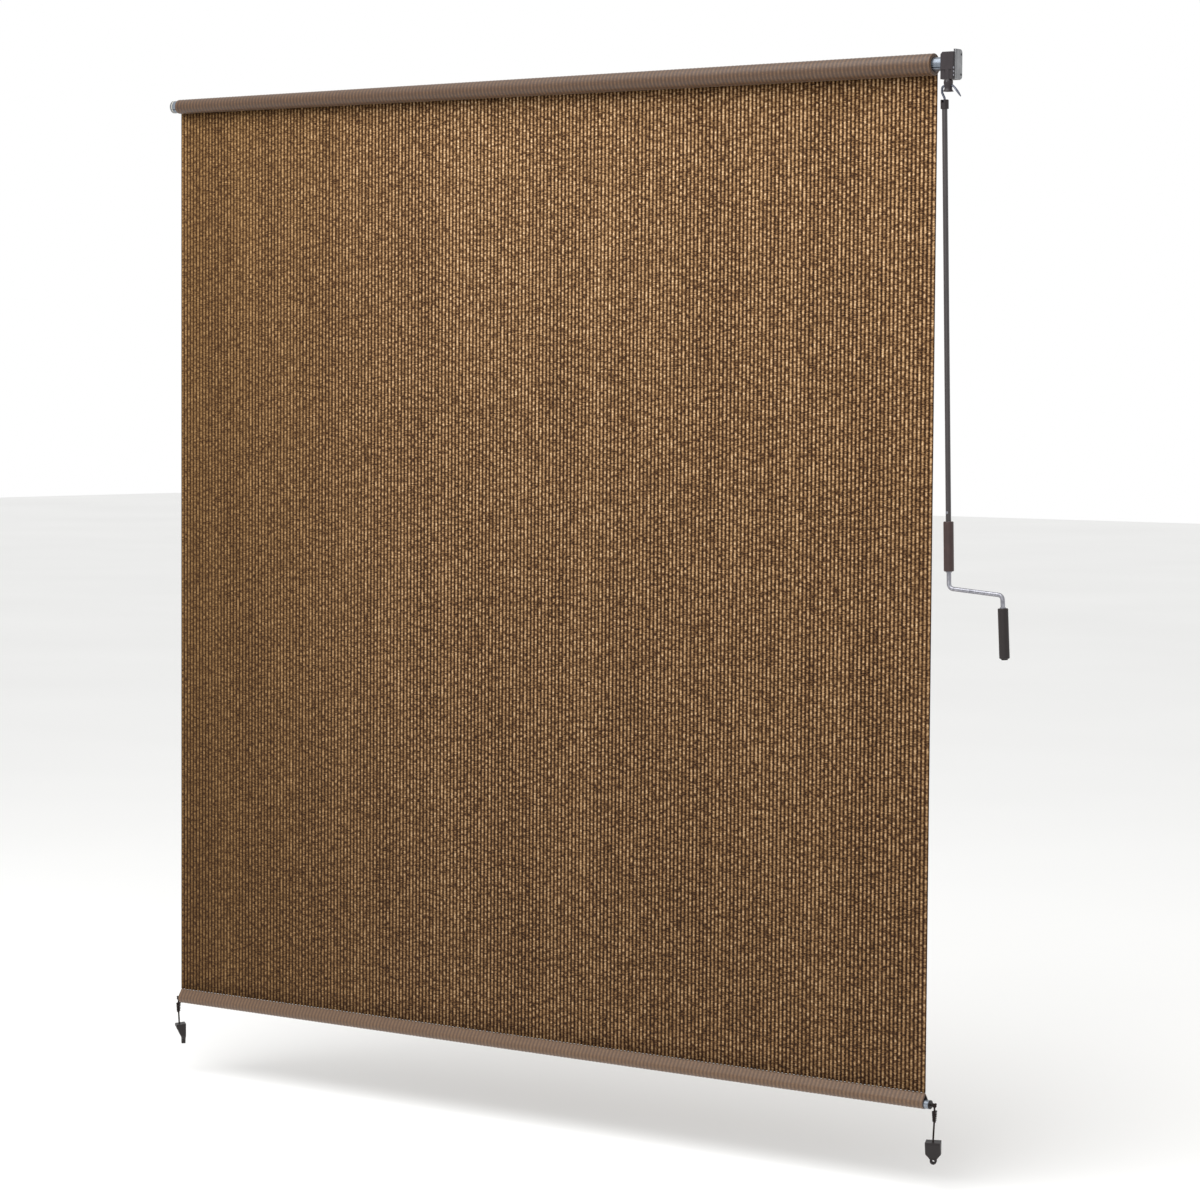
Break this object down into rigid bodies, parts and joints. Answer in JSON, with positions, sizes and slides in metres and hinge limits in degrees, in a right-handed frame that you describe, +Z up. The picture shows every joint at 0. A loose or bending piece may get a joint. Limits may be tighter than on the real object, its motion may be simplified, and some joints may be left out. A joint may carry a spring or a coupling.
{
  "type": "outdoor roller shade",
  "caption": "Wide ribbed fabric shade on a roller tube, turned by a worm gearbox and a hooked crank wand, with a weighted hem and tie-down anchors.",
  "frame": {"origin": "midway between the two screw holes of the gearbox's steel side plate, on its outer face", "axes": "+X along the roll towards the gearbox and out of its side plate, -Y towards the person at the crank, +Z up"},
  "size_m": [2.6198, 0.0744, 2.5864],
  "materials": {
    "shade_cloth": "knitted from tan and brown flat yarns, with dark gaps between the rows",
    "rolled_cloth": "the cloth's smoother brown side, wound",
    "aluminium": "plain mill finish",
    "steel_plate": "galvanised sheet",
    "bright_steel": "bright zinc plating",
    "brown_plastic": "moulded, dark brown, slight sheen",
    "brown_paint": "grey-brown satin paint",
    "grip_plastic": "dark brown, satin",
    "bronze": "sintered bronze",
    "gear_plastic": "natural white moulding",
    "dark_cord": "braided, near black"
  },
  "bodies": {
    "casing": {"gear_housing": "brown_plastic", "gear_cover": "brown_plastic", "cover_screws": "bright_steel", "gear_bracket": "steel_plate", "bracket_rivets": "bright_steel", "worm_bushes": "bronze", "spindle_bushes": "bronze", "idler_cup": "brown_plastic"},
    "roller": {"roller_tube": "aluminium", "fabric_roll": "rolled_cloth", "fabric_spline": "gear_plastic", "idler_plug": "brown_plastic", "idler_pin": "bright_steel", "drive_plug": "brown_plastic", "drive_spindle": "bright_steel", "worm_wheel": "gear_plastic"},
    "crank": {"worm_shaft": "bright_steel", "crank_eye": "brown_plastic", "eye_pin": "bright_steel"},
    "wand": {"wand_hook": "bright_steel", "wand_cap": "brown_plastic", "wand_tube": "brown_paint", "crank_rod": "bright_steel", "rod_rivet": "bright_steel", "grip_button": "brown_plastic"},
    "sleeve": {"wand_sleeve": "grip_plastic"},
    "grip": {"crank_grip": "grip_plastic"},
    "shade": {"fabric_panel": "shade_cloth", "hem_pocket": "rolled_cloth", "bottom_tube": "aluminium", "bottom_end_cap_idle": "brown_plastic", "bottom_end_cap_gear": "brown_plastic", "tie_cord_idle": "dark_cord", "tie_cord_gear": "dark_cord", "tie_knot_idle": "dark_cord", "tie_knot_gear": "dark_cord", "anchor_idle": "brown_plastic", "anchor_gear": "brown_plastic"}
  },
  "joints": [
    {"name": "crank_turn", "type": "hinge", "parent": "casing", "child": "crank", "pos_m": [-0.0173, -0.027, 0.0023], "axis": [0, 0, 1], "range_deg": [0, 51840]},
    {"name": "roller_spin", "type": "hinge", "parent": "casing", "child": "roller", "pos_m": [-0.0173, -0.014, 0.0023], "axis": [1, 0, 0], "range_deg": [0, 5760]},
    {"name": "shade_lift", "type": "slide", "parent": "casing", "child": "shade", "axis": [0, 0, 1], "range_m": [0, 2.2], "deforming": ["fabric_panel"]},
    {"name": "wand_swing", "type": "hinge", "parent": "crank", "child": "wand", "pos_m": [-0.0173, -0.027, -0.0495], "axis": [-1, 0, 0], "range_deg": [-5, 60]},
    {"name": "sleeve_spin", "type": "hinge", "parent": "wand", "child": "sleeve", "pos_m": [-0.00133, -0.027, -1.10018], "axis": [-0.0249, 0, 0.9997], "continuous": true},
    {"name": "grip_spin", "type": "hinge", "parent": "wand", "child": "grip", "pos_m": [0.14701, -0.027, -1.29845], "axis": [-0.0523, 0, 0.9986], "continuous": true}
  ],
  "couplings": [
    {"joint": "roller_spin", "follows": "crank_turn", "ratio": 0.11111},
    {"joint": "shade_lift", "follows": "crank_turn", "m_per_rad": 0.0024315}
  ]
}
